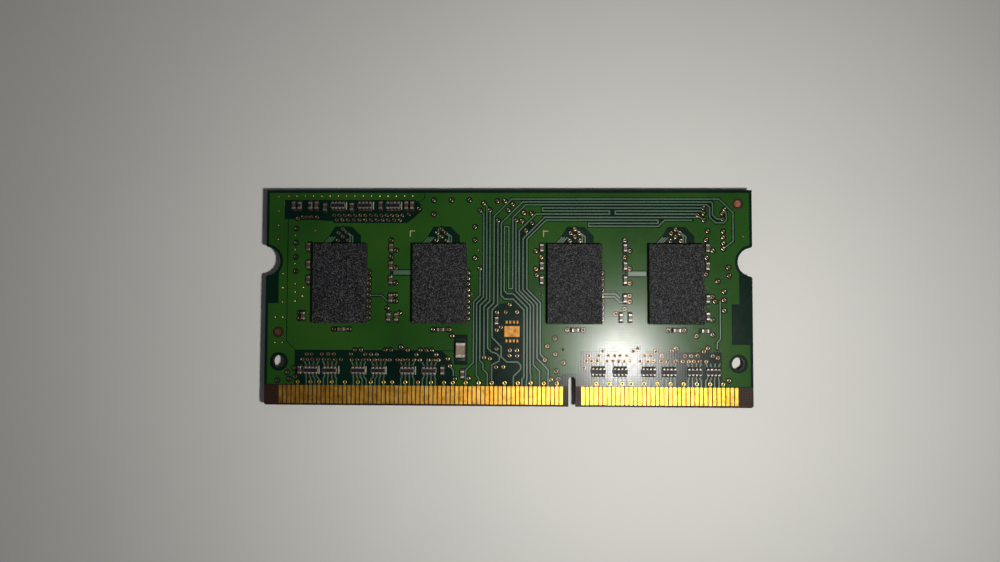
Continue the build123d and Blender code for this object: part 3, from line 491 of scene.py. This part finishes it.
def rings(points, segments):
    """Vertices and faces of a profile turned about its own axis: points are (radius, height)."""
    verts = []
    faces = []
    for i in range(segments):
        angle = 2 * math.pi * i / segments
        verts += [(r * math.cos(angle), r * math.sin(angle), z) for r, z in points]
    count = len(points)
    for i in range(segments):
        j = (i + 1) % segments
        for k in range(count - 1):
            faces.append((i * count + k, j * count + k, j * count + k + 1, i * count + k + 1))
    return verts, faces


def islands(mesh):
    """Groups of connected vertices."""
    left = set(mesh.verts)
    while left:
        start = left.pop()
        group = {start}
        waiting = [start]
        while waiting:
            vertex = waiting.pop()
            for edge in vertex.link_edges:
                other = edge.other_vert(vertex)
                if other in left:
                    left.discard(other)
                    group.add(other)
                    waiting.append(other)
        yield group


def turned_set(name, centres, level, up, profiles):
    """One piece of equal turned parts at centres; profiles are (points in mm, material)."""
    mesh = bmesh.new()
    for index, (points, material) in enumerate(profiles):
        verts, faces = rings([(r * MM, z * MM) for r, z in points], VIA_SEGMENTS)
        for cx, cy in centres:
            made = [mesh.verts.new((cx + x, cy + y, level + up * z)) for x, y, z in verts]
            for face in faces:
                corners = [made[i] for i in face]
                if up > 0:
                    corners.reverse()
                mesh.faces.new(corners).material_index = index
    bmesh.ops.remove_doubles(mesh, verts=mesh.verts, dist=VIA_MERGE_REACH)
    bmesh.ops.dissolve_degenerate(mesh, edges=mesh.edges, dist=VIA_MERGE_REACH)
    bmesh.ops.recalc_face_normals(mesh, faces=mesh.faces)
    return new_piece(name, mesh, [material for _, material in profiles], 35)


def via_centres(side, level):
    """Axes of a face's vias, in an order that is the same each run."""
    pads = flat_faces(f"{side}_vias", level)
    centres = []
    for group in islands(pads):
        centre = sum((v.co for v in group), Vector()) / len(group)
        centres.append((centre.x, centre.y))
    centres.sort(key=lambda c: (round(c[0] / MM, 3), round(c[1] / MM, 3)))
    pads.free()
    return centres


def split_tented(centres, openings):
    """Vias whose mask opening is narrower than their pad, and the open ones."""
    grid = {}
    for point in openings:
        grid.setdefault((round(point.x / MM), round(point.y / MM)), []).append(point)
    tented = []
    open_ones = []
    for cx, cy in centres:
        near = []
        for i in (-1, 0, 1):
            for j in (-1, 0, 1):
                near += grid.get((round(cx / MM) + i, round(cy / MM) + j), [])
        closest = min((math.hypot(p.x - cx, p.y - cy) for p in near), default=FAR)
        (tented if closest < TENTED_REACH else open_ones).append((cx, cy))
    return tented, open_ones


def coat_face(side):
    """The solder mask and the vias of one face, made from that face's copper."""
    up = 1 if side == "front" else -1
    edge = 1 if up > 0 else 0
    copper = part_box(f"{side}_ground_pour")[edge].z
    mask_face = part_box(f"{side}_solder_mask")[edge].z

    # over the copper; the coat over the tracks is paler, a painted highlight
    for node, name, material in ((f"{side}_ground_pour", f"{side}_mask_over_pour", "mask_raised"),
                                 (f"{side}_tracks", f"{side}_mask_over_tracks", "mask_track")):
        raised = flat_faces(node, copper)
        add_skirt(raised, RAISED_RIM, up)
        for v in raised.verts:
            v.co.z += up * COAT
        new_piece(name, raised, [MATERIALS[material]], 30)

    # on the bare laminate
    sheet = flat_faces(f"{side}_solder_mask", mask_face)
    openings = [v.co.copy() for v in sheet.verts if v.is_boundary]
    for v in sheet.verts:
        v.co.z = copper - up * COPPER + up * BASE_LIFT
    add_skirt(sheet, BASE_RIM, up)
    film = new_piece(f"{side}_mask_on_laminate", sheet, [MATERIALS["mask_base"]], 30)
    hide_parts(f"{side}_solder_mask")

    # vias: open ones show their plating, tented ones only a dimple in the mask; both get a dark bore disc,
    # painted shade in the hole
    centres = via_centres(side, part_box(f"{side}_vias")[edge].z)
    tented, open_ones = split_tented(centres, openings)
    neck_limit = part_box(f"{side}_contacts")[1].y + NECK_REACH
    necks = [c for c in open_ones if c[1] < neck_limit]
    others = [c for c in open_ones if c[1] >= neck_limit]
    bore = (BORE, MATERIALS["via_bore"])
    eyelets = turned_set(f"{side}_open_vias", others, copper, up,
                         ((EYELET, MATERIALS["via_gold"]), bore))
    turned_set(f"{side}_neck_vias", necks, copper, up, ((EYELET, MATERIALS["neck_gold"]), bore))
    turned_set(f"{side}_tented_vias", tented, copper, up,
               ((TENTED, MATERIALS["mask_raised"]), (TENTED_RING, MATERIALS["via_gold"]),
                (TENTED_BORE, MATERIALS["via_bore"])))
    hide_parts(f"{side}_vias")


for card_side in ("front", "rear"):
    coat_face(card_side)


# ---------------------------------------------------------------- floor
FLOOR_REACH = 1.2


def add_floor():
    mesh = bmesh.new()
    bmesh.ops.create_grid(mesh, x_segments=1, y_segments=1, size=FLOOR_REACH)
    data = bpy.data.meshes.new("floor")
    mesh.to_mesh(data)
    mesh.free()
    floor = bpy.data.objects.new("floor", data)
    floor.location = (0, 0, cad_low[2])
    bpy.context.scene.collection.objects.link(floor)
    m = Material("floor", (0.80, 0.795, 0.765), 0.75)
    m.colour(m.ramp(m.noise(0.02, 3.0), (0.3, (0.78, 0.775, 0.745)), (0.7, (0.82, 0.815, 0.785))))
    data.materials.append(m.material)


add_camera()
add_lights()
add_floor()
